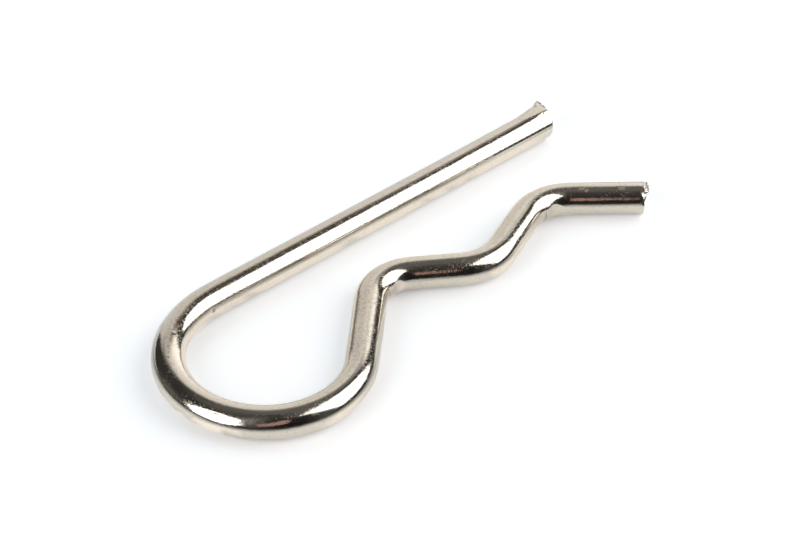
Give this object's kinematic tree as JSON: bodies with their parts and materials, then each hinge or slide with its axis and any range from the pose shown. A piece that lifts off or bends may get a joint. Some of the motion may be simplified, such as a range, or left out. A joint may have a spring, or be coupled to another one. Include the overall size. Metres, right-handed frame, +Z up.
{
  "type": "hitch pin clip",
  "caption": "Hitch pin clip bent from one length of round spring wire, with a straight leg for a shaft's cross hole, a round eye and a waved leg that snaps over the shaft.",
  "frame": {"origin": "under the middle of the clip's outline, on the surface that it lies on", "axes": "+X along the straight leg towards the free ends, +Y from the waved leg towards the straight leg, +Z up, across the plane that the wire is bent in"},
  "size_m": [0.0816, 0.0326, 0.0049],
  "materials": {
    "nickel_plate": "bright nickel plate with a slight warm tint, polished, with fine pits and drawing lines"
  },
  "bodies": {
    "root": {"clip_wire": "nickel_plate"}
  },
  "joints": []
}
